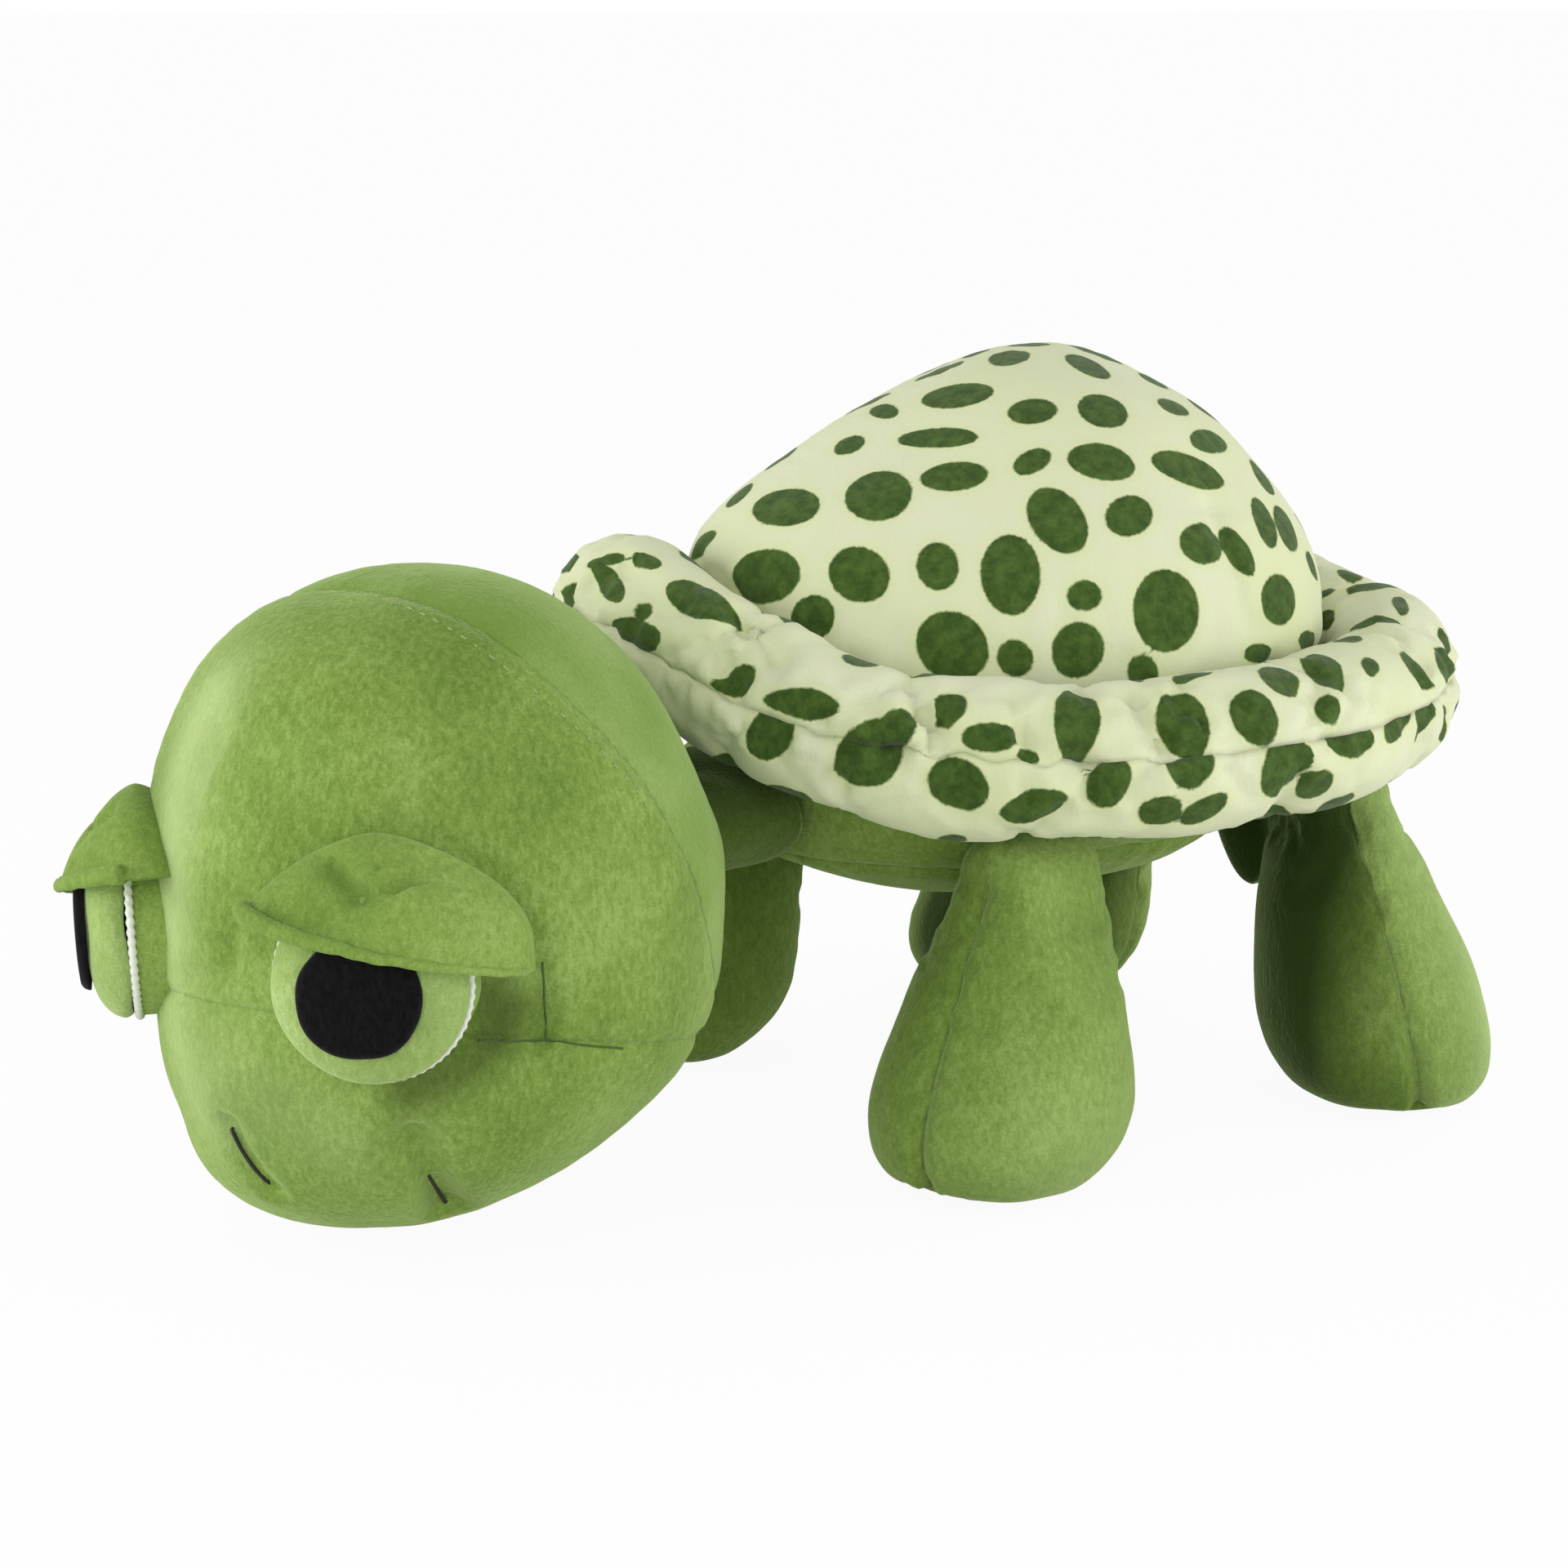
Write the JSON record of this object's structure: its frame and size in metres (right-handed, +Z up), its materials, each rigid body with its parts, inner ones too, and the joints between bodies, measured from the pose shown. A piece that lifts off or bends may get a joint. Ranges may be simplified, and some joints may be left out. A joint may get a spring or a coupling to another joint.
{
  "type": "plush turtle toy",
  "caption": "Soft plush turtle that stands on four stuffed legs, with a spotted domed shell, a big drooping head, hooded disc eyes, a turning neck and a short tail.",
  "frame": {"origin": "on the ground, under the middle of the whole toy's footprint", "axes": "+Z up, the toy faces -Y and its left side is +X"},
  "size_m": [0.2524, 0.4158, 0.2155],
  "materials": {
    "green_plush": "short-pile minky plush, leaf green",
    "spotted_plush": "short-pile plush, pale green printed with dark green oval spots",
    "eye_green_plush": "short-pile plush, lighter green, stretched over a stuffed disc",
    "black_velour": "dense black velour pad with a slight loft",
    "white_piping": "white satin piping sewn in the seam behind the disc",
    "black_thread": "black embroidery thread",
    "stuffing": "loose polyester fibre fill"
  },
  "bodies": {
    "torso": {"torso_belly_panel": "green_plush", "torso_side_panel": "green_plush", "torso_back_panel": "green_plush", "torso_stuffing": "stuffing", "rim_upper_strip": "spotted_plush", "rim_lower_strip": "spotted_plush", "rim_stuffing": "stuffing", "shell_dome": "spotted_plush", "shell_stuffing": "stuffing"},
    "neck": {"neck_sleeve": "green_plush", "neck_stuffing": "stuffing"},
    "head": {"head_jaw_panel": "green_plush", "head_front_panel": "green_plush", "head_back_panel": "green_plush", "head_stuffing": "stuffing", "left_eye_face": "eye_green_plush", "left_eye_piping": "white_piping", "left_eye_band": "green_plush", "left_eye_stuffing": "stuffing", "left_eye_pupil": "black_velour", "left_eyelid": "green_plush", "right_eye_face": "eye_green_plush", "right_eye_piping": "white_piping", "right_eye_band": "green_plush", "right_eye_stuffing": "stuffing", "right_eye_pupil": "black_velour", "right_eyelid": "green_plush", "mouth_thread": "black_thread"},
    "leg_front_left": {"leg_front_left_sole": "green_plush", "leg_front_left_outer_panel": "green_plush", "leg_front_left_inner_panel": "green_plush", "leg_front_left_stuffing": "stuffing"},
    "leg_front_right": {"leg_front_right_sole": "green_plush", "leg_front_right_outer_panel": "green_plush", "leg_front_right_inner_panel": "green_plush", "leg_front_right_stuffing": "stuffing"},
    "leg_hind_left": {"leg_hind_left_sole": "green_plush", "leg_hind_left_outer_panel": "green_plush", "leg_hind_left_inner_panel": "green_plush", "leg_hind_left_stuffing": "stuffing"},
    "leg_hind_right": {"leg_hind_right_sole": "green_plush", "leg_hind_right_outer_panel": "green_plush", "leg_hind_right_inner_panel": "green_plush", "leg_hind_right_stuffing": "stuffing"},
    "tail": {"tail_skin": "green_plush", "tail_stuffing": "stuffing"}
  },
  "joints": [
    {"name": "neck_turn", "type": "hinge", "parent": "torso", "child": "neck", "pos_m": [0, -0.03147, 0.096], "axis": [0, 0, 1], "range_deg": [-32, 8], "stiffness_Nm_per_rad": 3},
    {"name": "head_nod", "type": "hinge", "parent": "neck", "child": "head", "pos_m": [0.00208, -0.04125, 0.096], "axis": [0.9781, 0.2079, 0], "range_deg": [-7, 12], "stiffness_Nm_per_rad": 5},
    {"name": "tail_lift", "type": "hinge", "parent": "torso", "child": "tail", "pos_m": [0, 0.16863, 0.09012], "axis": [1, 0, 0], "range_deg": [-20, 60], "stiffness_Nm_per_rad": 0.05},
    {"name": "leg_fold_front_left", "type": "hinge", "parent": "torso", "child": "leg_front_left", "pos_m": [0.07003, 0.03288, 0.08362], "axis": [0.2588, -0.9659, 0], "range_deg": [-10, 28], "stiffness_Nm_per_rad": 4},
    {"name": "leg_fold_front_right", "type": "hinge", "parent": "torso", "child": "leg_front_right", "pos_m": [-0.07003, 0.03288, 0.08362], "axis": [0.2588, 0.9659, 0], "range_deg": [-10, 28], "stiffness_Nm_per_rad": 4},
    {"name": "leg_fold_hind_left", "type": "hinge", "parent": "torso", "child": "leg_hind_left", "pos_m": [0.05761, 0.15327, 0.0885], "axis": [0.9063, -0.4226, 0], "range_deg": [-10, 28], "stiffness_Nm_per_rad": 4},
    {"name": "leg_fold_hind_right", "type": "hinge", "parent": "torso", "child": "leg_hind_right", "pos_m": [-0.05761, 0.15327, 0.0885], "axis": [0.9063, 0.4226, 0], "range_deg": [-10, 28], "stiffness_Nm_per_rad": 4}
  ]
}
